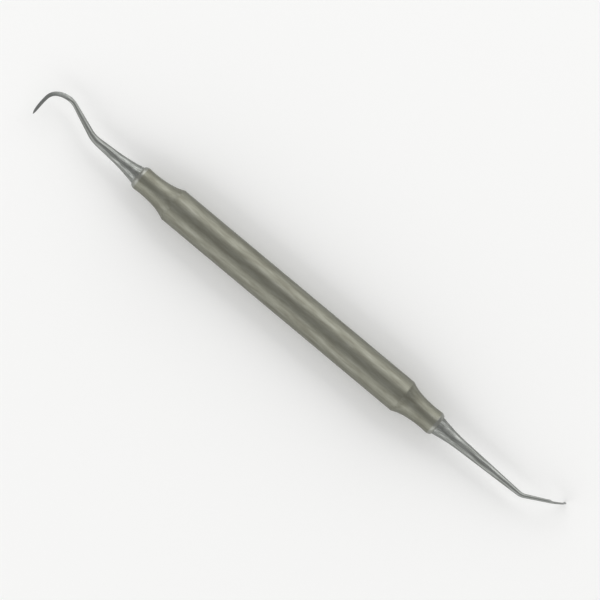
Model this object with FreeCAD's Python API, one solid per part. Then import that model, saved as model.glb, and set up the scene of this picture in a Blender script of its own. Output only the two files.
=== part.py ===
import FreeCAD, Part
import math
import os

# Double-ended sickle scaler, lying as it comes to rest on a flat surface.
# Millimetres. +X runs along the handle to the right working end and +Z is up.
# The origin is on the handle's axis, midway between its two nose faces.

Vector = FreeCAD.Vector
ALONG = Vector(1, 0, 0)
SIDE = Vector(0, 1, 0)

# Handle: a thin tube with a turned cone plugged into each end
HANDLE_LENGTH = 100.0       # nose face to nose face
HANDLE_DIAMETER = 9.5
TUBE_WALL = 0.6
SPIGOT_LENGTH = 6.0         # how far a cone reaches into the tube
SPIGOT_CLEARANCE = 0.02     # radial, filled by the weld

# Outline of a nose cone: a trumpet, a waist, a faint bead and a rounded nose
WAIST_DIAMETER = 6.46
WAIST_TO_NOSE = 3.1
WAIST_RADIUS = 34.0         # slow curve next to the waist
WAIST_TURN = 7.5            # degrees that the slow curve turns
FLARE_RADIUS = 13.7         # quicker curve out to the rim
BEAD_DIAMETER = 6.66
NOSE_RADIUS = 1.8           # rounded shoulder of the nose
NOSE_TURN = 45.0            # degrees that the shoulder turns before the flat face

# Tang of a working end and the hole it sits in
TANG_DIAMETER = 3.6
TANG_LENGTH = 12.0
TANG_CLEARANCE = 0.02       # radial, filled by the braze
HOLE_END_GAP = 0.5          # air left beyond the tang

# Shank: a turned cone that swells into a foot where it leaves the nose
FOOT_DIAMETER = 5.2         # at the nose face
FOOT_LENGTH = 8.0           # distance in which the foot fades into the cone
CONE_DIAMETER = 3.9         # where the cone, carried on, would meet the nose face

# Sections of a blade: a triangle with slightly full sides
SIDE_FULLNESS = 0.03        # bulge of a side as a share of its length
TAPER_SHARE = 0.77          # share of a blade's length in which it tapers, before it runs on evenly
BLADE_FADE_POWER = 16       # how late the blade narrows to its point
POINT_HEIGHT = 0.12         # flat left at the very point
SECTION_STEP = 0.6          # widest spacing of sections

# Left working end: the sickle curls in the plane of the surface
LEFT = {
    "root_length": 13.2,            # straight run from the nose face to the bend
    "bend_radius": 9.0,
    "side_angle": 21.2,             # degrees that the shank turns to the side
    "rise_angle": 0.0,
    "terminal_length": 7.8,         # straight run from the bend to the curl
    "bend_diameter": 2.22,          # where the bend starts
    "terminal_diameter": 1.8,       # where the bend ends
    "curl_diameter": 1.27,          # where the curl starts
    "curl_towards": Vector(0, -1, 0),
    "curl_radii": (6.2, 3.5, 22.5),
    "curl_angles": (53.0, 51.0, 14.0),
    "round_length": 1.0,            # of the curl that keeps the shank's round section
    "blend_length": 3.0,            # in which the round section becomes the blade's
    "blade_heights": (1.4, 0.89),   # from its face to its back, at its start and near the point
    "blade_widths": (0.92, 0.56),   # across its face
    "blade_aside": 0.0,             # how far it is ground to one side of the shank's middle
}

# Right working end: the shank turns aside and up, and the sickle curls down
RIGHT = {
    "root_length": 26.9,
    "bend_radius": 4.0,
    "side_angle": 27.9,
    "rise_angle": None,             # worked out, so that the point meets the surface
    "terminal_length": 5.4,
    "bend_diameter": 1.38,
    "terminal_diameter": 1.13,
    "curl_diameter": 0.92,
    "curl_towards": Vector(0, 0.12, -1),
    "curl_radii": (5.1, 3.2, 15.6),
    "curl_angles": (50.0, 40.0, 9.0),
    "round_length": 1.0,
    "blend_length": 1.1,
    "blade_heights": (1.2, 0.74),
    "blade_widths": (0.66, 0.44),
    "blade_aside": 0.24,
}
LOWEST_RISE = -20.0         # degrees, range searched for the rise
HIGHEST_RISE = 60.0
RISE_ACCURACY = 0.0001


def turned(vector, axis, degrees):
    """The vector turned about an axis by the right-hand rule."""
    return FreeCAD.Rotation(axis, degrees).multVec(vector)


def lathe(outline):
    """A solid turned about the X axis from a closed outline of edges."""
    face = Part.Face(Part.Wire(outline))
    return face.revolve(Vector(0, 0, 0), ALONG, 360)


def line(start, end):
    return Part.LineSegment(start, end).toShape()


def arc(start, middle, end):
    return Part.Arc(start, middle, end).toShape()


# Nose cone

def flare_sizes():
    """Lengths and heights of the trumpet's two arcs, from waist to rim."""
    waist = WAIST_DIAMETER / 2
    turn = math.radians(WAIST_TURN)
    slow_length = WAIST_RADIUS * math.sin(turn)
    slow_height = WAIST_RADIUS * (1 - math.cos(turn))
    quick_height = HANDLE_DIAMETER / 2 - waist - slow_height
    rim_turn = math.acos(math.cos(turn) - quick_height / FLARE_RADIUS)
    quick_length = FLARE_RADIUS * (math.sin(rim_turn) - math.sin(turn))
    return slow_length, slow_height, quick_length, turn, rim_turn


def nose_cone_length():
    """From the rim that meets the tube to the nose face."""
    slow_length, _, quick_length, _, _ = flare_sizes()
    return WAIST_TO_NOSE + slow_length + quick_length


def nose_cone():
    """A turned cone with its nose face at X = 0 and its spigot towards -X."""
    slow_length, slow_height, quick_length, turn, rim_turn = flare_sizes()
    waist = WAIST_DIAMETER / 2
    bead = BEAD_DIAMETER / 2
    rim = HANDLE_DIAMETER / 2
    spigot = rim - TUBE_WALL - SPIGOT_CLEARANCE
    hole = TANG_DIAMETER / 2 + TANG_CLEARANCE
    nose_turn = math.radians(NOSE_TURN)
    shoulder_start = -NOSE_RADIUS * math.sin(nose_turn)

    def on_slow(angle):
        x = -WAIST_TO_NOSE - WAIST_RADIUS * math.sin(angle)
        return Vector(x, waist + WAIST_RADIUS * (1 - math.cos(angle)), 0)

    def on_shoulder(angle):
        x = shoulder_start + NOSE_RADIUS * math.sin(angle)
        return Vector(x, bead - NOSE_RADIUS * (1 - math.cos(angle)), 0)

    def on_quick(angle):
        x = -WAIST_TO_NOSE - slow_length - FLARE_RADIUS * (math.sin(angle) - math.sin(turn))
        y = waist + slow_height + FLARE_RADIUS * (math.cos(turn) - math.cos(angle))
        return Vector(x, y, 0)

    rim_x = -nose_cone_length()
    spigot_end = rim_x - SPIGOT_LENGTH
    hole_end = -TANG_LENGTH - HOLE_END_GAP
    rim_point = Vector(rim_x, rim, 0)
    waist_point = Vector(-WAIST_TO_NOSE, waist, 0)
    bead_point = on_shoulder(0)
    face_point = on_shoulder(nose_turn)
    outline = [
        line(Vector(spigot_end, 0, 0), Vector(spigot_end, spigot, 0)),
        line(Vector(spigot_end, spigot, 0), Vector(rim_x, spigot, 0)),
        line(Vector(rim_x, spigot, 0), rim_point),
        arc(rim_point, on_quick((turn + rim_turn) / 2), on_quick(turn)),
        arc(on_quick(turn), on_slow(turn / 2), waist_point),
        line(waist_point, bead_point),
        arc(bead_point, on_shoulder(nose_turn / 2), face_point),
        line(face_point, Vector(0, hole, 0)),
        line(Vector(0, hole, 0), Vector(hole_end, hole, 0)),
        line(Vector(hole_end, hole, 0), Vector(hole_end, 0, 0)),
        line(Vector(hole_end, 0, 0), Vector(spigot_end, 0, 0)),
    ]
    return lathe(outline)


# Handle tube

def tube_length():
    return HANDLE_LENGTH - 2 * nose_cone_length()


def handle_tube():
    outer = HANDLE_DIAMETER / 2
    inner = outer - TUBE_WALL
    length = tube_length()
    start = Vector(-length / 2, 0, 0)
    tube = Part.makeCylinder(outer, length, start, ALONG)
    return tube.cut(Part.makeCylinder(inner, length, start, ALONG))


# Working end

def heading(end, rise):
    """Direction of the straight run that leads to the curl."""
    side = math.radians(end["side_angle"])
    up = math.radians(rise)
    return Vector(math.cos(up) * math.cos(side), math.cos(up) * math.sin(side), math.sin(up))


def path_pieces(end, rise):
    """Runs and arcs of the centre line, and the direction of the blade's back at the root."""
    terminal = heading(end, rise)
    bend_axis = ALONG.cross(terminal).normalize()
    bend_angle = math.degrees(ALONG.getAngle(terminal))
    inward = end["curl_towards"] - terminal * end["curl_towards"].dot(terminal)
    inward.normalize()
    curl_axis = terminal.cross(inward)
    pieces = [
        ("run", end["root_length"]),
        ("bend", end["bend_radius"], bend_angle, bend_axis),
        ("run", end["terminal_length"]),
    ]
    for radius, degrees in zip(end["curl_radii"], end["curl_angles"]):
        pieces.append(("bend", radius, degrees, curl_axis))
    back_at_root = turned(inward * -1, bend_axis, -bend_angle)
    return pieces, back_at_root


def spaced(length):
    """Even shares of a length, no wider apart than the section step."""
    count = max(2, math.ceil(length / SECTION_STEP))
    return [i / count for i in range(count + 1)]


def walk(end, rise):
    """Stretches of the centre line, as stations with distance, place, direction and back."""
    pieces, back = path_pieces(end, rise)
    distance = 0.0
    place = Vector(0, 0, 0)
    direction = ALONG
    stretches = []
    for piece in pieces:
        stations = []
        if piece[0] == "run":
            length = piece[1]
            for share in spaced(length):
                ahead = length * share
                stations.append((distance + ahead, place + direction * ahead, direction, back))
        else:
            radius, degrees, axis = piece[1:]
            length = radius * math.radians(degrees)
            from_centre = direction.cross(axis) * radius
            centre = place - from_centre
            for share in spaced(length):
                turn = degrees * share
                stations.append((distance + length * share, centre + turned(from_centre, axis, turn),
                                 turned(direction, axis, turn), turned(back, axis, turn)))
        stretches.append(stations)
        distance, place, direction, back = stations[-1]
    return stretches


def breaks(end, rise):
    """Distances at which the bend, the terminal run and the curl start."""
    bend_start = end["root_length"]
    bend_end = bend_start + end["bend_radius"] * ALONG.getAngle(heading(end, rise))
    return bend_start, bend_end, bend_end + end["terminal_length"]


def shank_diameter(end, rise, distance):
    """Diameter of the round shank, which tapers evenly along each of its stretches."""
    stops = (0, *breaks(end, rise))
    sizes = (CONE_DIAMETER, end["bend_diameter"], end["terminal_diameter"], end["curl_diameter"])
    for i in range(3):
        if distance < stops[i + 1]:
            return mix(sizes[i], sizes[i + 1], (distance - stops[i]) / (stops[i + 1] - stops[i]))
    return sizes[-1]


def mix(first, last, share):
    return first + (last - first) * share


def curl_length(end):
    return sum(r * math.radians(a) for r, a in zip(end["curl_radii"], end["curl_angles"]))


def smooth(share):
    """Eases from 0 to 1 as the share goes from 0 to 1."""
    share = min(1, max(0, share))
    return share * share * (3 - 2 * share)


def section(end, rise, station):
    """Three corners and three side middles of one section, from round shank to blade."""
    distance, place, direction, back = station
    width_way = direction.cross(back)
    blade_start = breaks(end, rise)[-1] + end["round_length"]
    whole = breaks(end, rise)[-1] + curl_length(end)
    along = max(0, (distance - blade_start) / (whole - blade_start))
    sharp = smooth((distance - blade_start) / end["blend_length"])
    last = (1 - POINT_HEIGHT / end["blade_heights"][1]) ** (1 / BLADE_FADE_POWER)
    narrowing = 1 - (along * last) ** BLADE_FADE_POWER
    taper = smooth(along / TAPER_SHARE)
    height = mix(*end["blade_heights"], taper) * narrowing
    width = mix(*end["blade_widths"], taper) * narrowing
    middle = place + width_way * (end["blade_aside"] * sharp)
    round_d = shank_diameter(end, rise, distance)
    half_width = mix(round_d * math.sin(math.radians(60)), width, sharp) / 2
    inner = mix(round_d / 4, height / 2, sharp)
    outer = mix(round_d / 2, height / 2, sharp)
    bulge = mix(round_d / 4, SIDE_FULLNESS * height, sharp)
    face_bulge = mix(round_d / 4, SIDE_FULLNESS * width, sharp)
    edge_a = middle - back * inner - width_way * half_width
    edge_b = middle - back * inner + width_way * half_width
    ridge = middle + back * outer
    slant = math.atan2(outer + inner, half_width)
    out_a = back * math.cos(slant) - width_way * math.sin(slant)
    out_b = back * math.cos(slant) + width_way * math.sin(slant)
    face_middle = (edge_a + edge_b) * 0.5 - back * face_bulge
    side_a = (edge_a + ridge) * 0.5 + out_a * bulge
    side_b = (edge_b + ridge) * 0.5 + out_b * bulge
    return (edge_a, edge_b, ridge), (face_middle, side_b, side_a)


def section_wire(end, rise, station):
    corners, middles = section(end, rise, station)
    edge_a, edge_b, ridge = corners
    face_middle, side_b, side_a = middles
    return Part.Wire([
        arc(edge_a, face_middle, edge_b),
        arc(edge_b, side_b, ridge),
        arc(ridge, side_a, edge_a),
    ])


def lowest_corner(end, rise):
    """Height of the point's lowest corner over the handle's axis."""
    point = walk(end, rise)[-1][-1]
    corners, _ = section(end, rise, point)
    return min(corner.z for corner in corners)


def rise_that_lands(end):
    """The rise at which the point just meets the surface that the handle lies on."""
    low, high = LOWEST_RISE, HIGHEST_RISE
    while high - low > RISE_ACCURACY:
        middle = (low + high) / 2
        if lowest_corner(end, middle) > -HANDLE_DIAMETER / 2:
            high = middle
        else:
            low = middle
    return (low + high) / 2


def turned_root(end):
    """The tang, the shoulder that meets the nose face, the foot and the straight cone."""
    length = end["root_length"]
    tang = TANG_DIAMETER / 2

    def on_cone(x):
        return mix(CONE_DIAMETER, end["bend_diameter"], x / length) / 2

    foot = FOOT_DIAMETER / 2
    swell = foot - CONE_DIAMETER / 2
    foot_point = Vector(0, foot, 0)
    foot_middle = Vector(FOOT_LENGTH / 2, on_cone(FOOT_LENGTH / 2) + swell / 4, 0)
    foot_end = Vector(FOOT_LENGTH, on_cone(FOOT_LENGTH), 0)
    cone_end = Vector(length, on_cone(length), 0)
    outline = [
        line(Vector(-TANG_LENGTH, 0, 0), Vector(-TANG_LENGTH, tang, 0)),
        line(Vector(-TANG_LENGTH, tang, 0), Vector(0, tang, 0)),
        line(Vector(0, tang, 0), foot_point),
        arc(foot_point, foot_middle, foot_end),
        line(foot_end, cone_end),
        line(cone_end, Vector(length, 0, 0)),
        line(Vector(length, 0, 0), Vector(-TANG_LENGTH, 0, 0)),
    ]
    return lathe(outline)


def working_end(end):
    """Tang, shank and sickle in one piece, with the nose face at X = 0."""
    rise = end["rise_angle"]
    if rise is None:
        rise = rise_that_lands(end)
    _, bend, terminal, *curl = walk(end, rise)
    curl = curl[0] + [station for later_arc in curl[1:] for station in later_arc[1:]]
    body = turned_root(end)
    body = body.fuse(lofted(end, rise, bend))
    body = body.fuse(straight_cone(end, terminal[0], terminal[-1]))
    return body.fuse(lofted(end, rise, curl))


def lofted(end, rise, stations):
    wires = [section_wire(end, rise, station) for station in stations]
    return Part.makeLoft(wires, True)


def straight_cone(end, first, last):
    """The round run between two stations."""
    start, direction = first[1:3]
    radii = end["terminal_diameter"] / 2, end["curl_diameter"] / 2
    return Part.makeCone(*radii, end["terminal_length"], start, direction)


# Pieces modelled at a nose face go to the right end as they are, and to the left end turned half round

def at_right(shape):
    moved = shape.copy()
    moved.translate(ALONG * (HANDLE_LENGTH / 2))
    return moved


def at_left(shape):
    moved = shape.copy()
    moved.rotate(Vector(0, 0, 0), SIDE, 180)
    moved.translate(ALONG * (-HANDLE_LENGTH / 2))
    return moved


def main():
    os.makedirs("parts", exist_ok=True)
    cone = nose_cone()
    pieces = {
        "handle_tube": handle_tube(),
        "left_nose_cone": at_left(cone),
        "right_nose_cone": at_right(cone),
        "left_working_end": at_left(working_end(LEFT)),
        "right_working_end": at_right(working_end(RIGHT)),
    }
    for name, shape in pieces.items():
        box = shape.BoundBox
        print(name, "solids", len(shape.Solids), "valid", shape.isValid(), "volume", round(shape.Volume, 2),
              "box", [round(v, 2) for v in (box.XMin, box.YMin, box.ZMin, box.XMax, box.YMax, box.ZMax)])
        shape.exportStep("parts/" + name + ".step")


main()
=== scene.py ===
# %% [markdown]
# # A double-ended sickle scaler
#
# A dentist scrapes tartar off teeth with this hand tool. A hollow steel handle has a flared nose
# cone at each end, and each cone holds a tapered shank that ends in a small curved blade.
# The construction file gives the exact solids. This lesson builds finer surfaces over them, gives
# them steel finishes, and lights them as a product photograph would.

# %% Load the fixed frame
import bmesh
import bpy
import math
from mathutils import Matrix, Vector


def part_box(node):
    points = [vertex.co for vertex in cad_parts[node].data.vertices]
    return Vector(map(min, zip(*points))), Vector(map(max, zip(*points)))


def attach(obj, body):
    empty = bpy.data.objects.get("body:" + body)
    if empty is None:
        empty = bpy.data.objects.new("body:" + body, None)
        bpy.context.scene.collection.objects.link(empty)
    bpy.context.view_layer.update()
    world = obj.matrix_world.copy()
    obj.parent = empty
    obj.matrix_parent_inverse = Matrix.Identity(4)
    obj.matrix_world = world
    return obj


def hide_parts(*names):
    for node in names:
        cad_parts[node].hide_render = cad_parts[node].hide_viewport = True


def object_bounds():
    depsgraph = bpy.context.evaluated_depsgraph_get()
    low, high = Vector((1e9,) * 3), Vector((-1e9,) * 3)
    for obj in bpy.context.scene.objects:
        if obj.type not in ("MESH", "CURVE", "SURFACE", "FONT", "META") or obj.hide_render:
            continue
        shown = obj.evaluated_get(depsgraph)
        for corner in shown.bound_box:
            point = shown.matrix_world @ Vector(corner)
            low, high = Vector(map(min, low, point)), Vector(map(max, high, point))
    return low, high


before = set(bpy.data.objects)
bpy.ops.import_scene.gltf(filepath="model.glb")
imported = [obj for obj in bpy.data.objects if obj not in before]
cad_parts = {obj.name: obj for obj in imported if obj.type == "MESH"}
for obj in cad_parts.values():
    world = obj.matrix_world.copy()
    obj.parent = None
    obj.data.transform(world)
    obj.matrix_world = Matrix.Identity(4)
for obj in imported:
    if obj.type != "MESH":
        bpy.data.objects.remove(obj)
MM = 0.001                  # metres; every size below is in mm unless its comment says otherwise
solid_low, solid_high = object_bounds()
print("solids reach from", solid_low / MM, "to", solid_high / MM, "mm")

# %% [markdown]
# ## Turning and sweeping
#
# Every piece of this tool is either turned on a lathe or forged and ground along a bent line. Both
# can be made the same way: a row of rings is joined by strips of faces. A turned piece has
# circles round one line, and a swept piece has rings that follow the bend. Building the rings
# by formula gives much finer faces than the solids have, which matters on polished steel, where
# a reflection shows every facet. The ring points are also kept as they would lie on the straight,
# unbent piece. The finishes use those places, so that polishing lines follow the bends.
#
# Smooth shading hides the facets, but it would also blur the edges that are sharp on the real
# tool, so those are marked. The corners of each face run anticlockwise as seen from outside.
# That tells Blender which side is out, and a volume above zero proves it.

# %% Mark the sharp edges
RING_POINTS = 96            # divides by 3, so that a blade's corners fall on points
CORNER_POINTS = range(0, RING_POINTS, RING_POINTS // 3)


def mark_sharp(mesh, rings, starts, sharp_rings, sharp_corners):
    """Marks the edges round the sharp rings and along the sharp corners."""
    sharp = set()
    for r in sharp_rings:
        for i in range(RING_POINTS):
            sharp.add(frozenset((starts[r] + i, starts[r] + (i + 1) % RING_POINTS)))
    for r, has_corners in enumerate(sharp_corners):
        if has_corners and len(rings[r + 1]) > 1:
            for corner in CORNER_POINTS:
                sharp.add(frozenset((starts[r] + corner, starts[r + 1] + corner)))
    for edge in mesh.edges:
        if frozenset(edge.vertices) in sharp:
            edge.use_edge_sharp = True


# %% Skin a row of rings


def strip(first, first_size, second, second_size):
    """Faces between two rings, from the numbers of their first points and their sizes."""
    faces = []
    for i in range(RING_POINTS):
        j = (i + 1) % RING_POINTS
        if first_size == 1:
            faces.append((first, second + i, second + j))
        elif second_size == 1:
            faces.append((first + j, first + i, second))
        else:
            faces.append((first + j, first + i, second + i, second + j))
    return faces


def volume(mesh):
    """Volume in cubic mm, below zero where the faces look inwards."""
    solid = bmesh.new()
    solid.from_mesh(mesh)
    size = solid.calc_volume(signed=True)
    solid.free()
    return size / MM ** 3


def skin(name, rings, straight, sharp_rings=(), sharp_corners=(), closed=False):
    """A mesh from rings of points. A ring of one point closes an end.

    straight holds the same rings as they lie on the unbent piece. sharp_corners tells for each
    ring whether its three corners are edges. closed joins the last ring to the first."""
    points, unbent, starts = [], [], []
    for ring, unbent_ring in zip(rings, straight):
        starts.append(len(points))
        points.extend(point * MM for point in ring)
        unbent.extend(unbent_ring)
    pairs = list(zip(range(len(rings)), range(1, len(rings))))
    if closed:
        pairs.append((len(rings) - 1, 0))
    faces = []
    for a, b in pairs:
        faces.extend(strip(starts[a], len(rings[a]), starts[b], len(rings[b])))
    mesh = bpy.data.meshes.new(name)
    mesh.from_pydata(points, [], faces)
    mesh.polygons.foreach_set("use_smooth", [True] * len(faces))
    mark_sharp(mesh, rings, starts, sharp_rings, sharp_corners)
    layer = mesh.attributes.new("straight", "FLOAT_VECTOR", "POINT")
    layer.data.foreach_set("vector", [number for place in unbent for number in place])
    mesh.update()
    piece = bpy.data.objects.new(name, mesh)
    bpy.context.scene.collection.objects.link(piece)
    print(name, len(faces), "faces,", round(volume(mesh), 1), "cubic mm")
    return piece


# %% Turn an outline on the lathe
ARC_STEP = 0.1              # spacing of the points on an outline's arcs


def circle(x, radius):
    """Points round the X axis, starting at +Z and going towards +Y."""
    if radius == 0:
        return [Vector((x, 0, 0))]
    angles = [math.tau * i / RING_POINTS for i in range(RING_POINTS)]
    return [Vector((x, radius * math.sin(a), radius * math.cos(a))) for a in angles]


def turned(name, outline, corners, closed=False):
    """A turned piece from (x, radius) pairs. corners are the outline's sharp points."""
    rings = [circle(x, radius) for x, radius in outline]
    sharp = [i for i, point in enumerate(outline) if point in corners and point[1] > 0]
    return skin(name, rings, rings, sharp, closed=closed)


def arc_points(centre, radius, start, end):
    """Points on an arc of an outline. Angles are in degrees from the +radius direction to +x."""
    count = math.ceil(radius * math.radians(abs(end - start)) / ARC_STEP)
    angles = [math.radians(start + (end - start) * i / count) for i in range(count + 1)]
    return [(centre[0] + radius * math.sin(a), centre[1] + radius * math.cos(a)) for a in angles]


# %% [markdown]
# ## The handle
#
# The handle of such a scaler is a thin drawn tube, hollow so that it is light and warm in the
# hand. The photograph leaves its middle out, so it stays a plain tube. It could be a cylinder
# with its ends open, but a real tube has a wall, so its outline goes along the outside, over a
# tiny broken edge, and back along the bore. The broken edges make the hairline at each weld.

# %% Handle tube
HANDLE_DIAMETER = 9.5
HANDLE_LENGTH = 100.0       # from nose face to nose face
TUBE_WALL = 0.6
SEAM_BREAK = 0.05           # broken edge that shows as a hairline at the weld
TUBE_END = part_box("handle_tube")[1].x / MM      # from the middle to where the solid tube ends


def tube_outline(end):
    """Outline of the wall. Each of its six points is an edge."""
    outer = HANDLE_DIAMETER / 2
    inner = outer - TUBE_WALL
    left = [(-end, inner), (-end, outer - SEAM_BREAK), (-end + SEAM_BREAK, outer)]
    right = [(-x, radius) for x, radius in reversed(left)]
    return left + right


wall = tube_outline(TUBE_END)
tube = turned("handle_tube_smooth", wall, wall, closed=True)

# %% [markdown]
# ## The nose cones
#
# Each end of the tube is plugged by a turned cone, shaped like a trumpet: from the rim that meets
# the tube it falls in a quick curve, then in a slow one to a waist, and swells faintly to a bead
# before the rounded nose. Fingers rest in that hollow. A curve drawn by eye would wander off the
# solid, so the outline uses the same two arcs, and finds their lengths from the sizes that can be
# measured: the diameters at the waist and the rim. A hidden spigot fits the tube's bore, and a
# hole in the nose takes the shank's tang. A narrow groove round the shank's foot gives the dark
# line of the brazed joint.

# %% Sizes of a nose cone and of what it holds
WAIST_DIAMETER = 6.46
WAIST_TO_NOSE = 3.1
WAIST_RADIUS = 34.0
WAIST_TURN = 7.5            # degrees
FLARE_RADIUS = 13.7
BEAD_DIAMETER = 6.66
NOSE_RADIUS = 1.8
NOSE_TURN = 45.0            # degrees
SHOULDER_START = -NOSE_RADIUS * math.sin(math.radians(NOSE_TURN))
SPIGOT_LENGTH = 6.0
FOOT_DIAMETER = 5.2         # of the shank where it leaves the nose
TANG_DIAMETER = 3.6
TANG_LENGTH = 12.0
FIT_GAP = 0.02              # round the spigot and the tang, where weld and braze are
HOLE_END_GAP = 0.5
GROOVE = 0.12               # depth of the dark line where the braze sits round the foot


# %% Nose cone outline


def nose_cone_outline():
    """From the axis at the spigot's end over the outside to the axis in the tang's hole."""
    waist, bead, rim = WAIST_DIAMETER / 2, BEAD_DIAMETER / 2, HANDLE_DIAMETER / 2
    steep = math.radians(WAIST_TURN)
    slow_centre = (-WAIST_TO_NOSE, waist + WAIST_RADIUS)
    lever = WAIST_RADIUS - FLARE_RADIUS
    quick_centre = (
        slow_centre[0] - lever * math.sin(steep),
        slow_centre[1] - lever * math.cos(steep),
    )
    rim_turn = math.acos((quick_centre[1] - rim) / FLARE_RADIUS)
    rim_x = quick_centre[0] - FLARE_RADIUS * math.sin(rim_turn)
    edge_turn = math.degrees(math.acos((quick_centre[1] - rim + SEAM_BREAK) / FLARE_RADIUS))
    quick = arc_points(quick_centre, FLARE_RADIUS, 180 + edge_turn, 180 + WAIST_TURN)
    slow = arc_points(slow_centre, WAIST_RADIUS, 180 + WAIST_TURN, 180)
    shoulder = arc_points((SHOULDER_START, bead - NOSE_RADIUS), NOSE_RADIUS, 0, NOSE_TURN)
    spigot = rim - TUBE_WALL - FIT_GAP
    spigot_end = rim_x - SPIGOT_LENGTH
    inside = [(spigot_end, 0), (spigot_end, spigot), (rim_x, spigot), (rim_x, rim - SEAM_BREAK)]
    hole = TANG_DIAMETER / 2 + FIT_GAP
    hole_end = -TANG_LENGTH - HOLE_END_GAP
    lip = (0, (FOOT_DIAMETER + GROOVE) / 2)
    groove = [(-GROOVE, FOOT_DIAMETER / 2 - GROOVE), (-GROOVE, hole)]
    mouth = [lip] + groove + [(hole_end, hole), (hole_end, 0)]
    outline = inside + quick + slow[1:] + shoulder + mouth
    corners = inside + [shoulder[-1]] + mouth
    print("cone from rim to nose", round(-rim_x, 3), "mm")
    return outline, corners


cone_outline, cone_corners = nose_cone_outline()

# %% [markdown]
# ## The burnished ring
#
# The shank is polished after it is brazed in, and the wheel touches the nose's rounded shoulder as
# well. So a thin bright ring stands between the dull cone and the shank. A separate ring object
# would make a seam that isn't there. Instead each point of the cone keeps a number between 0 and
# 1, which says how burnished it is, and the cone's material reads it later.
#
# Both cones come from one outline. A piece is made with its nose face at X = 0 and moved to the
# right end of the handle, or turned half round and moved to the left end. The points themselves
# are moved, so that every object stays at the origin.

# %% Two burnished cones
BURNISH_FADE = 0.5          # in which the ring fades into the blasted cone
BURNISH_EDGE = 0.05         # that the ring stays away from the groove


def keep_numbers(piece, name, numbers):
    """Keeps one number for each point of a piece."""
    layer = piece.data.attributes.new(name, "FLOAT", "POINT")
    layer.data.foreach_set("value", numbers)


def smooth(share):
    """Eases from 0 to 1 as the share goes from 0 to 1."""
    share = min(1, max(0, share))
    return share * share * (3 - 2 * share)


def burnished_cone(name):
    piece = turned(name, cone_outline, cone_corners)
    inner_edge = (FOOT_DIAMETER + GROOVE) / 2 + BURNISH_EDGE
    shares = []
    for point in piece.data.attributes["straight"].data:
        reached = math.hypot(point.vector.y, point.vector.z) > inner_edge
        shares.append(smooth((point.vector.x - SHOULDER_START) / BURNISH_FADE) if reached else 0)
    keep_numbers(piece, "burnished", shares)
    return piece


def at_right(piece):
    piece.data.transform(Matrix.Translation(Vector((HANDLE_LENGTH / 2 * MM, 0, 0))))
    return piece


def at_left(piece):
    piece.data.transform(Matrix.Rotation(math.pi, 4, "Y"))
    piece.data.transform(Matrix.Translation(Vector((-HANDLE_LENGTH / 2 * MM, 0, 0))))
    return piece


right_cone = at_right(burnished_cone("right_nose_cone_smooth"))
left_cone = at_left(burnished_cone("left_nose_cone_smooth"))

# %% [markdown]
# ## The line of a working end
#
# Each working end is one forged piece: a tang hidden in the cone, a tapered shank with one bend,
# and the sickle. Its centre line is a chain of straight runs and arcs, as the bending jig makes
# it. The left end turns to the side and its sickle curls back in the same plane, so it shows
# its whole hook from above. The right end turns to the side and slightly up, and its sickle
# curls down to the table, so from above it is seen nearly edge-on. A curve object with a bevel
# could follow such a line, but it can't change a round bar into a three-sided blade, so the
# line is walked in small steps and a ring is drawn at each one.

# %% Sizes of the two ends
LEFT = {
    "root_length": 13.2,
    "bend_radius": 9.0,
    "side_angle": 21.2,             # degrees
    "terminal_length": 7.8,         # of the straight run between the bend and the curl
    "bend_diameter": 2.22,
    "terminal_diameter": 1.8,
    "curl_diameter": 1.27,
    "curl_towards": Vector((0, -1, 0)),
    "curl_radii": (6.2, 3.5, 22.5),
    "curl_angles": (53, 51, 14),    # degrees
    "round_length": 1.0,            # of the curl that is still round
    "blend_length": 3.0,            # in which the round bar becomes the blade
    "blade_heights": (1.4, 0.89),   # from face to back, at the blade's start and near its point
    "blade_widths": (0.92, 0.56),   # across the face
    "blade_aside": 0.0,             # how far the blade is ground to one side of the bar
}
RIGHT = {
    "root_length": 26.9,
    "bend_radius": 4.0,
    "side_angle": 27.9,
    "terminal_length": 5.4,
    "bend_diameter": 1.38,
    "terminal_diameter": 1.13,
    "curl_diameter": 0.92,
    "curl_towards": Vector((0, 0.12, -1)),
    "curl_radii": (5.1, 3.2, 15.6),
    "curl_angles": (50, 40, 9),
    "round_length": 1.0,
    "blend_length": 1.1,
    "blade_heights": (1.2, 0.74),
    "blade_widths": (0.66, 0.44),
    "blade_aside": 0.24,
}


# %% Walk the centre line
ALONG = Vector((1, 0, 0))
STEP = 0.15                 # spacing of the rings along the line


def heading(end, rise):
    """Direction of the straight run that leads to the curl. rise is in degrees."""
    side, up = math.radians(end["side_angle"]), math.radians(rise)
    return Vector((math.cos(up) * math.cos(side), math.cos(up) * math.sin(side), math.sin(up)))


def breaks(end, rise):
    """Distances along the line at which the bend, the straight run and the curl start and end."""
    bend = end["root_length"]
    run = bend + end["bend_radius"] * ALONG.angle(heading(end, rise))
    curl = run + end["terminal_length"]
    lengths = (r * math.radians(a) for r, a in zip(end["curl_radii"], end["curl_angles"]))
    return bend, run, curl, curl + sum(lengths)


def step_on(start, length, angle, axis, share):
    """The station that lies a share of the way along a run or an arc."""
    distance, place, direction, back = start
    ahead = length * share
    if angle == 0:
        return distance + ahead, place + direction * ahead, direction, back
    turn = Matrix.Rotation(angle * share, 3, axis)
    from_centre = direction.cross(axis) * (length / angle)
    place = place - from_centre + turn @ from_centre
    return distance + ahead, place, turn @ direction, turn @ back


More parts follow.
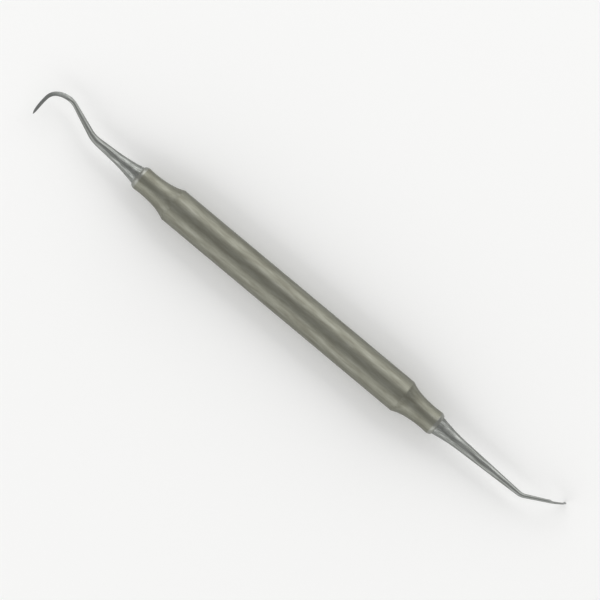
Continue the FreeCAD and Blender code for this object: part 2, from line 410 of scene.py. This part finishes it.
def walk(end, rise):
    """Stations of the centre line.

    Each is a distance, a place, a direction and the way that the blade's back faces."""
    terminal = heading(end, rise)
    bend_axis = ALONG.cross(terminal).normalized()
    bend_angle = ALONG.angle(terminal)
    inward = end["curl_towards"] - terminal * end["curl_towards"].dot(terminal)
    inward.normalize()
    curl_axis = terminal.cross(inward)
    moves = [
        (end["root_length"], 0, bend_axis),
        (end["bend_radius"] * bend_angle, bend_angle, bend_axis),
        (end["terminal_length"], 0, bend_axis),
    ]
    for radius, degrees in zip(end["curl_radii"], end["curl_angles"]):
        angle = math.radians(degrees)
        moves.append((radius * angle, angle, curl_axis))
    back = Matrix.Rotation(-bend_angle, 3, bend_axis) @ -inward
    stations = [(0.0, Vector((0, 0, 0)), ALONG, back)]
    for length, angle, axis in moves:
        start = stations[-1]
        count = max(2, math.ceil(length / STEP))
        for i in range(1, count + 1):
            stations.append(step_on(start, length, angle, axis, i / count))
    return stations


left_line = walk(LEFT, 0)
print("the left line has", len(left_line), "stations and is", round(left_line[-1][0], 2), "mm long")

# %% [markdown]
# ## From round bar to blade
#
# A ring is three bulging sides between three corners. With full bulges they make a circle, and
# with almost none a triangle, so one formula covers the shank, the blade and the change between
# them. The flat side faces the inside of the curl. Its two edges are the cutting edges, and the
# third corner is the blade's back. Those corners are marked sharp, so that the shading breaks
# there as it does on ground steel. Near the point the triangle shrinks to almost nothing. The
# right blade is ground from one side of its bar, so its triangle also moves aside, which gives
# the small step that the photograph shows where the bar ends.

# %% Taper and arcs
CONE_DIAMETER = 3.9         # of the shank's taper, carried back to the nose face


def mix(first, last, share):
    return first + (last - first) * share


def shank_diameter(end, rise, distance):
    """Diameter of the round bar, which tapers evenly along the root, the bend and the run."""
    places = (0, *breaks(end, rise)[:3])
    sizes = (CONE_DIAMETER, end["bend_diameter"], end["terminal_diameter"], end["curl_diameter"])
    for i in range(3):
        if distance < places[i + 1]:
            share = (distance - places[i]) / (places[i + 1] - places[i])
            return mix(sizes[i], sizes[i + 1], share)
    return sizes[-1]


def bow(start, middle, end, share):
    """A point on the arc from start over middle to end, in (width, back) numbers."""
    half = (end - start) / 2
    rise = middle - (start + end) / 2
    open_half = 2 * math.atan2(rise.length, half.length)
    radius = half.length / math.sin(open_half)
    up, along = rise.normalized(), half.normalized()
    angle = open_half * (2 * share - 1)
    return middle - up * radius * (1 - math.cos(angle)) + along * radius * math.sin(angle)


# %% Ring at a station
SIDE_FULLNESS = 0.03        # bulge of a blade's side as a share of its size
TAPER_SHARE = 0.77          # share of the blade in which it tapers
FADE_POWER = 16             # how late the blade narrows to its point
POINT_HEIGHT = 0.12
SHARP_FROM = 0.3            # share of the change at which the corners become edges


def blade_size(end, along):
    """Height and width of the blade's triangle at a share of its length.

    It fades towards its point so that the height left there is POINT_HEIGHT."""
    last = (1 - POINT_HEIGHT / end["blade_heights"][1]) ** (1 / FADE_POWER)
    shrink = 1 - (along * last) ** FADE_POWER
    taper = smooth(along / TAPER_SHARE)
    return mix(*end["blade_heights"], taper) * shrink, mix(*end["blade_widths"], taper) * shrink


def ring_shape(end, rise, distance):
    """The ring as (width, back) numbers, and how far it has changed from round to blade."""
    _, _, curl, whole = breaks(end, rise)
    blade = curl + end["round_length"]
    height, width = blade_size(end, max(0, (distance - blade) / (whole - blade)))
    change = smooth((distance - blade) / end["blend_length"])
    aside = end["blade_aside"] * change
    # On a circle the three sides lie a quarter of its diameter from the middle, and bulge by
    # another quarter. The third corner lies half a diameter away.
    size = shank_diameter(end, rise, distance)
    half_width = mix(size * math.sin(math.radians(60)), width, change) / 2
    inner = mix(size / 4, height / 2, change)
    outer = mix(size / 2, height / 2, change)
    bulge = mix(size / 4, SIDE_FULLNESS * height, change)
    face_bulge = mix(size / 4, SIDE_FULLNESS * width, change)
    edge_a = Vector((aside - half_width, -inner))
    edge_b = Vector((aside + half_width, -inner))
    ridge = Vector((aside, outer))
    slant = math.atan2(outer + inner, half_width)
    away_a = Vector((-math.sin(slant), math.cos(slant)))
    away_b = Vector((math.sin(slant), math.cos(slant)))
    sides = (
        (edge_a, Vector((aside, -inner - face_bulge)), edge_b),
        (edge_b, (edge_b + ridge) / 2 + away_b * bulge, ridge),
        (ridge, (edge_a + ridge) / 2 + away_a * bulge, edge_a),
    )
    per_side = RING_POINTS // 3
    ring = [bow(*side, i / per_side) for side in sides for i in range(per_side)]
    return ring, change


# %% [markdown]
# ## Tang, foot and taper
#
# The shank leaves the nose with a wide foot that fades into a long taper. The tang behind it is
# never seen, but the solid has it, so it is made too. Its rings are the shank's first ring made
# smaller or larger, so they start at the same corner, and the whole end is skinned in one go
# without a seam. Each ring's share of the change from round to blade is kept in the mesh, for
# the polish of the shank and the grinding of the blade.

# %% Working end
FOOT_LENGTH = 8.0           # in which the foot's swelling fades out
TANG_EDGES = (1, 2, 3)      # rings at the tang's end, at its root and at the foot's edge


def foot_growth(size, distance):
    """How many times larger the foot makes the taper's ring."""
    swell = (FOOT_DIAMETER - CONE_DIAMETER) / 2
    share = max(0, 1 - distance / FOOT_LENGTH)
    return 1 + swell * share * share / (size / 2)


def tang_rows(start, shape):
    """Rings of the hidden tang and the foot's edge, each as a station, a shape and a share."""
    _, _, direction, back = start
    tang = TANG_DIAMETER / 2
    root = [(-GROOVE, tang), (-GROOVE, FOOT_DIAMETER / 2 - GROOVE)]
    rows = [((-TANG_LENGTH, direction * -TANG_LENGTH, direction, back), [Vector((0, 0))], 0)]
    for x, radius in [(-TANG_LENGTH, tang)] + root:
        ring = [point * (radius / (CONE_DIAMETER / 2)) for point in shape]
        rows.append(((x, direction * x, direction, back), ring, 0))
    return rows


def placed(station, shape):
    """The points in space of a ring at a station."""
    _, place, direction, back = station
    across = direction.cross(back)
    return [place + across * point.x + back * point.y for point in shape]


def working_end(name, end, rise):
    """Skins the tang, the shank and the sickle, with the nose face at X = 0."""
    stations = walk(end, rise)
    rows = tang_rows(stations[0], ring_shape(end, rise, 0)[0])
    for station in stations:
        shape, change = ring_shape(end, rise, station[0])
        growth = foot_growth(shank_diameter(end, rise, station[0]), station[0])
        rows.append((station, [point * growth for point in shape], change))
    middle = sum(shape, Vector((0, 0))) / RING_POINTS
    rows.append((stations[-1], [middle], 1))
    rings = [placed(station, shape) for station, shape, _ in rows]
    straight = [[(station[0], *point) for point in shape] for station, shape, _ in rows]
    edged = [change > SHARP_FROM for _, _, change in rows[:-1]]
    piece = skin(name, rings, straight, (*TANG_EDGES, len(rows) - 2), edged)
    keep_numbers(piece, "ground", [change for _, shape, change in rows for _ in shape])
    return piece


# %% [markdown]
# ## Let the right point down to the table
#
# On a flat tray the tool lies on its round handle and on the point of the right sickle. From
# above nobody can see how much the right shank rises after its bend, so the angle is worked out.
# The range is halved again and again, and each time the half is kept in which the point meets
# the table. The same rule gives the solid its angle, so both agree.

# %% Both working ends
LOWEST_RISE, HIGHEST_RISE = -20.0, 60.0     # degrees
RISE_ACCURACY = 0.0001                      # degrees


def lowest_point(end, rise):
    """Height of the blade's point over the handle's axis."""
    station = walk(end, rise)[-1]
    shape, _ = ring_shape(end, rise, station[0])
    return min(point.z for point in placed(station, shape))


def rise_that_lands(end):
    """The rise, in degrees, at which the point just meets the table under the handle."""
    low, high = LOWEST_RISE, HIGHEST_RISE
    while high - low > RISE_ACCURACY:
        middle = (low + high) / 2
        if lowest_point(end, middle) > -HANDLE_DIAMETER / 2:
            high = middle
        else:
            low = middle
    return (low + high) / 2


right_rise = rise_that_lands(RIGHT)
print("the right shank rises", round(right_rise, 2), "degrees after its bend")
left_end = at_left(working_end("left_working_end_smooth", LEFT, 0))
right_end = at_right(working_end("right_working_end_smooth", RIGHT, right_rise))

# %% [markdown]
# ## Tie the pieces to the solids
#
# The solids stay in the file for weight and contact. Each finer mesh stands for one solid, which
# is hidden, and rides on the tool's body, so that both move together. The two could be compared
# by eye, but a difference of their boxes in millimetres shows at once where a formula went
# wrong.

# %% Ride, replace and compare
stand_ins = {
    "handle_tube": (tube, "satin_steel"),
    "left_nose_cone": (left_cone, "satin_steel"),
    "right_nose_cone": (right_cone, "satin_steel"),
    "left_working_end": (left_end, "polished_steel"),
    "right_working_end": (right_end, "polished_steel"),
}


def box_difference(piece, node):
    """The largest distance between the sides of a piece's box and its solid's box."""
    low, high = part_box(node)
    corners = [Vector(corner) for corner in piece.bound_box]
    lows = (abs(min(corner[i] for corner in corners) - low[i]) for i in range(3))
    highs = (abs(max(corner[i] for corner in corners) - high[i]) for i in range(3))
    return max(*lows, *highs) / MM


for node, (piece, slot) in stand_ins.items():
    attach(piece, "root")
    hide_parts(node)
    print(node, "differs from its solid's box by", round(box_difference(piece, node), 3), "mm")

# %% [markdown]
# ## Mixing finishes
#
# Every finish below is a Principled shader fed by a few procedural textures. Colours are written
# as they look on a screen, and one function turns them into the linear numbers that the renderer
# uses. Another function adds a node with its settings and links, which keeps each material short
# enough to read as a list of decisions. The textures are laid over the unbent piece in mm, so a
# texture can be stretched along the steel by making that direction's numbers small.

# %% Colour and node helpers
NUMBER_A, NUMBER_B, NUMBER_OUT = 2, 3, 0    # the Mix node's sockets share their names, so they are
COLOUR_A, COLOUR_B, COLOUR_OUT = 6, 7, 2    # found by their places


def colour(code):
    """Linear colour from a screen colour such as #8f8f86."""
    parts = [int(code[i:i + 2], 16) / 255 for i in (1, 3, 5)]
    return [c / 12.92 if c <= 0.04045 else ((c + 0.055) / 1.055) ** 2.4 for c in parts] + [1]


def add(tree, kind, settings=None, inputs=None, stops=()):
    """Adds a node. An input is a value, or the socket of another node that feeds it.

    stops are the (position, screen colour) pairs of a colour ramp, from low to high."""
    node = tree.nodes.new(kind)
    for key, value in (settings or {}).items():
        setattr(node, key, value)
    for key, value in (inputs or {}).items():
        if isinstance(value, bpy.types.NodeSocket):
            tree.links.new(value, node.inputs[key])
        else:
            node.inputs[key].default_value = value
    for i, (position, code) in enumerate(stops):
        elements = node.color_ramp.elements
        element = elements[i] if i < len(elements) else elements.new(position)
        element.position = position
        element.color = colour(code)
    return node


def new_material(name):
    material = bpy.data.materials.new(name)
    material.use_nodes = True
    material.node_tree.nodes.clear()
    return material, material.node_tree


def places_on_steel(tree, length, width):
    """Places on the unbent piece, counted in a pattern's length along it and width across it."""
    lay = add(tree, "ShaderNodeAttribute", {"attribute_name": "straight"})
    counted = add(tree, "ShaderNodeVectorMath", {"operation": "DIVIDE"}, {
        0: lay.outputs["Vector"], 1: (length, width, width)})
    return counted.outputs["Vector"]


# %% [markdown]
# ## Satin steel
#
# The handle and the cones are stainless steel, blasted with fine glass beads for grip. To the eye
# that is a dry, slightly warm grey with wide, soft bands of light and no clear reflection. The
# pits are a few hundredths of a millimetre wide, far below one pixel here, so they are drawn as
# grains of a third of a millimetre. Turning and handling leave faint lengthwise clouds, a little
# warmer and darker than the rest, which a stretched noise gives. On the nose's shoulder the
# burnished number brings in a brighter, smoother steel.

# %% Satin steel material
GRAIN = 0.35                # drawn size of the blasted grain
CLOUD_LENGTH, CLOUD_WIDTH = 6.0, 0.9


def satin_steel():
    material, tree = new_material("bead_blasted_stainless_steel")
    grain = add(tree, "ShaderNodeTexNoise", inputs={
        "Vector": places_on_steel(tree, GRAIN, GRAIN),
        "Scale": 1.0, "Detail": 2.0, "Roughness": 0.6})
    cloud = add(tree, "ShaderNodeTexNoise", inputs={
        "Vector": places_on_steel(tree, CLOUD_LENGTH, CLOUD_WIDTH),
        "Scale": 1.0, "Detail": 3.0, "Roughness": 0.55})
    blasted_tint = add(tree, "ShaderNodeValToRGB", inputs={"Fac": cloud.outputs["Fac"]}, stops=[
        (0.3, "#737267"), (0.5, "#7d7d72"), (0.7, "#87877d")])
    blasted_rough = add(tree, "ShaderNodeMapRange", inputs={
        "Value": cloud.outputs["Fac"],
        "From Min": 0.3, "From Max": 0.7, "To Min": 0.48, "To Max": 0.41})
    burnished = add(tree, "ShaderNodeAttribute", {"attribute_name": "burnished"})
    tint = add(tree, "ShaderNodeMix", {"data_type": "RGBA"}, {
        "Factor": burnished.outputs["Fac"],
        COLOUR_A: blasted_tint.outputs["Color"], COLOUR_B: colour("#8f908a")})
    rough = add(tree, "ShaderNodeMix", {"data_type": "FLOAT"}, {
        "Factor": burnished.outputs["Fac"],
        NUMBER_A: blasted_rough.outputs["Result"], NUMBER_B: 0.3})
    bump = add(tree, "ShaderNodeBump", inputs={
        "Strength": 0.25, "Distance": 0.02 * MM, "Height": grain.outputs["Fac"]})
    shader = add(tree, "ShaderNodeBsdfPrincipled", inputs={
        "Base Color": tint.outputs[COLOUR_OUT], "Metallic": 1.0,
        "Roughness": rough.outputs[NUMBER_OUT], "Normal": bump.outputs["Normal"]})
    add(tree, "ShaderNodeOutputMaterial", inputs={"Surface": shader.outputs["BSDF"]})
    return material


satin = satin_steel()
for piece in (tube, left_cone, right_cone):
    piece.data.materials.append(satin)
print(satin.name, "on", tube.name, left_cone.name, right_cone.name)

# %% [markdown]
# ## Polished shank and ground blade
#
# The shanks are polished along their length after forging. To the eye that gives narrow, clear
# bands of light with faint lines along them. The blades are ground last, across their faces,
# which leaves short lines from edge to edge and a slightly duller, darker steel. Both finishes
# belong to one piece of metal. One material holds both, and the ground share kept in the mesh
# moves from the first to the second where the round bar becomes a blade. The real lines are
# hundredths of a millimetre apart, so both sets are drawn coarser.

# %% Polished and ground steel material
LINE_LENGTH, LINE_WIDTH = 8.0, 0.28         # polishing lines along the shank
CUT_LENGTH, CUT_SPACING = 2.0, 0.14         # grinding lines across the blade


def polished_steel():
    material, tree = new_material("polished_and_ground_stainless_steel")
    ground = add(tree, "ShaderNodeAttribute", {"attribute_name": "ground"})
    lines = add(tree, "ShaderNodeTexNoise", inputs={
        "Vector": places_on_steel(tree, LINE_LENGTH, LINE_WIDTH),
        "Scale": 1.0, "Detail": 2.0, "Roughness": 0.5})
    cuts = add(tree, "ShaderNodeTexNoise", inputs={
        "Vector": places_on_steel(tree, CUT_SPACING, CUT_LENGTH),
        "Scale": 1.0, "Detail": 2.0, "Roughness": 0.5})
    marks = add(tree, "ShaderNodeMix", {"data_type": "FLOAT"}, {
        "Factor": ground.outputs["Fac"],
        NUMBER_A: lines.outputs["Fac"], NUMBER_B: cuts.outputs["Fac"]})
    shank_tint = add(tree, "ShaderNodeValToRGB", inputs={"Fac": lines.outputs["Fac"]}, stops=[
        (0.3, "#6c6e69"), (0.5, "#848683"), (0.7, "#9c9e9a")])
    blade_tint = add(tree, "ShaderNodeValToRGB", inputs={"Fac": cuts.outputs["Fac"]}, stops=[
        (0.35, "#7a7c7a"), (0.65, "#8c8e8b")])
    tint = add(tree, "ShaderNodeMix", {"data_type": "RGBA"}, {
        "Factor": ground.outputs["Fac"],
        COLOUR_A: shank_tint.outputs["Color"], COLOUR_B: blade_tint.outputs["Color"]})
    rough = add(tree, "ShaderNodeMapRange", inputs={
        "Value": marks.outputs[NUMBER_OUT],
        "From Min": 0.3, "From Max": 0.7, "To Min": 0.42, "To Max": 0.28})
    bump = add(tree, "ShaderNodeBump", inputs={
        "Strength": 0.2, "Distance": 0.01 * MM, "Height": marks.outputs[NUMBER_OUT]})
    shader = add(tree, "ShaderNodeBsdfPrincipled", inputs={
        "Base Color": tint.outputs[COLOUR_OUT], "Metallic": 1.0,
        "Roughness": rough.outputs["Result"], "Normal": bump.outputs["Normal"]})
    add(tree, "ShaderNodeOutputMaterial", inputs={"Surface": shader.outputs["BSDF"]})
    return material


polished = polished_steel()
for piece in (left_end, right_end):
    piece.data.materials.append(polished)
print(polished.name, "on", left_end.name, right_end.name)

# %% [markdown]
# ## The table
#
# The tool lies on a plain pale sheet, seen from straight above, as its photograph shows it
# against white. The sheet is large enough to fill the view and to light the sides of the steel
# from below, which gives the pale outer band on a polished round bar. It could be a cube or a
# plane from Blender's menu, but four points at the solids' lowest height put it exactly there.

# %% Floor
FLOOR_HALF = 2.0            # metres from the middle to a side


def floor_at(height):
    mesh = bpy.data.meshes.new("table_sheet")
    corners = [(-1, -1), (1, -1), (1, 1), (-1, 1)]
    points = [(x * FLOOR_HALF, y * FLOOR_HALF, height) for x, y in corners]
    mesh.from_pydata(points, [], [(0, 1, 2, 3)])
    piece = bpy.data.objects.new("table_sheet", mesh)
    bpy.context.scene.collection.objects.link(piece)
    material, tree = new_material("white_paper")
    shader = add(tree, "ShaderNodeBsdfPrincipled", inputs={
        "Base Color": colour("#f9f9f8"), "Roughness": 0.9, "Specular IOR Level": 0.1})
    add(tree, "ShaderNodeOutputMaterial", inputs={"Surface": shader.outputs["BSDF"]})
    mesh.materials.append(material)
    return piece


floor_at(solid_low.z)
print("table at", round(solid_low.z / MM, 3), "mm")

# %% [markdown]
# ## Light
#
# A round steel bar is a mirror that shows a strip of everything round it, so its look is decided
# by where the lamps stand. Two long soft boxes hang on both sides of the tool, parallel to the
# handle. Between them, straight above, the grey of the room stays open. That gives the dark
# stripe in the middle of each cone with a soft band on both sides of it. In the photograph the
# upper band is the brighter one, and the left shank shines more than the right. So the far box
# is shorter, brighter and moved towards the left end, and the near box is long and even. Small
# boxes close by would give the same bands, but they would light the sheet unevenly. The levels
# add up so that the white sheet renders just about as white as it is written.

# %% Soft boxes and room
BOX_ANGLE = 62.0            # degrees from straight up to the middle of a box
BOX_DISTANCE = 1.2          # metres, as are the next sizes
BOX_WIDTH = 1.16
FAR_BOX = {"x": -0.4, "length": 1.8, "glow": 1.6}       # glow is the brightness of its face
NEAR_BOX = {"x": 0.2, "length": 4.0, "glow": 1.0}


def soft_box(name, side, x, length, glow):
    """A long lamp beside the handle. side is 1 towards +Y and -1 towards -Y.

    A lamp's face shines at a glow of 1 when it gives pi watts per square metre."""
    data = bpy.data.lights.new(name, "AREA")
    data.shape = "RECTANGLE"
    data.size, data.size_y = length, BOX_WIDTH
    data.energy = math.pi * length * BOX_WIDTH * glow
    lamp = bpy.data.objects.new(name, data)
    tilt = math.radians(BOX_ANGLE) * side
    lamp.location = (x, BOX_DISTANCE * math.sin(tilt), BOX_DISTANCE * math.cos(tilt))
    lamp.rotation_euler = (-tilt, 0, 0)
    bpy.context.scene.collection.objects.link(lamp)
    print(name, round(data.energy, 2), "W")


soft_box("soft_box_far", 1, **FAR_BOX)
soft_box("soft_box_near", -1, **NEAR_BOX)
world = bpy.data.worlds.new("grey_room")
world.use_nodes = True
room = world.node_tree.nodes["Background"]
room.inputs["Color"].default_value = colour("#c8c8c8")
room.inputs["Strength"].default_value = 1.0
bpy.context.scene.world = world

# %% [markdown]
# ## Camera
#
# The photograph shows the tool from one side with hardly any perspective. Lying on the table it
# is seen the same way from straight above, through a long lens. The camera is turned about its
# own axis, so that the handle runs from the upper left to the lower right as in the photograph.
# The lens is worked out from how many pixels a millimetre should take.

# %% Camera
PHOTO_TURN = 39.85          # degrees, how far the handle runs down to the right in the picture
PICTURE = 600               # pixels, each way
PIXELS_PER_MM = 3.9
PICTURE_MIDDLE = (2.3, 2.1)     # mm, the place on the table at the middle of the picture
CAMERA_HEIGHT = 1.2         # metres
SENSOR = 36.0               # mm, as wide as the picture

camera_data = bpy.data.cameras.new("long_lens")
camera_data.sensor_width = SENSOR
camera_data.lens = SENSOR * CAMERA_HEIGHT / (PICTURE / PIXELS_PER_MM * MM)
camera_data.clip_end = 10   # metres
camera = bpy.data.objects.new("camera", camera_data)
camera.location = (PICTURE_MIDDLE[0] * MM, PICTURE_MIDDLE[1] * MM, CAMERA_HEIGHT)
camera.rotation_euler = (0, 0, math.radians(PHOTO_TURN))
bpy.context.scene.collection.objects.link(camera)
bpy.context.scene.camera = camera
bpy.context.scene.view_settings.view_transform = "Standard"
print("lens", round(camera_data.lens), "mm")
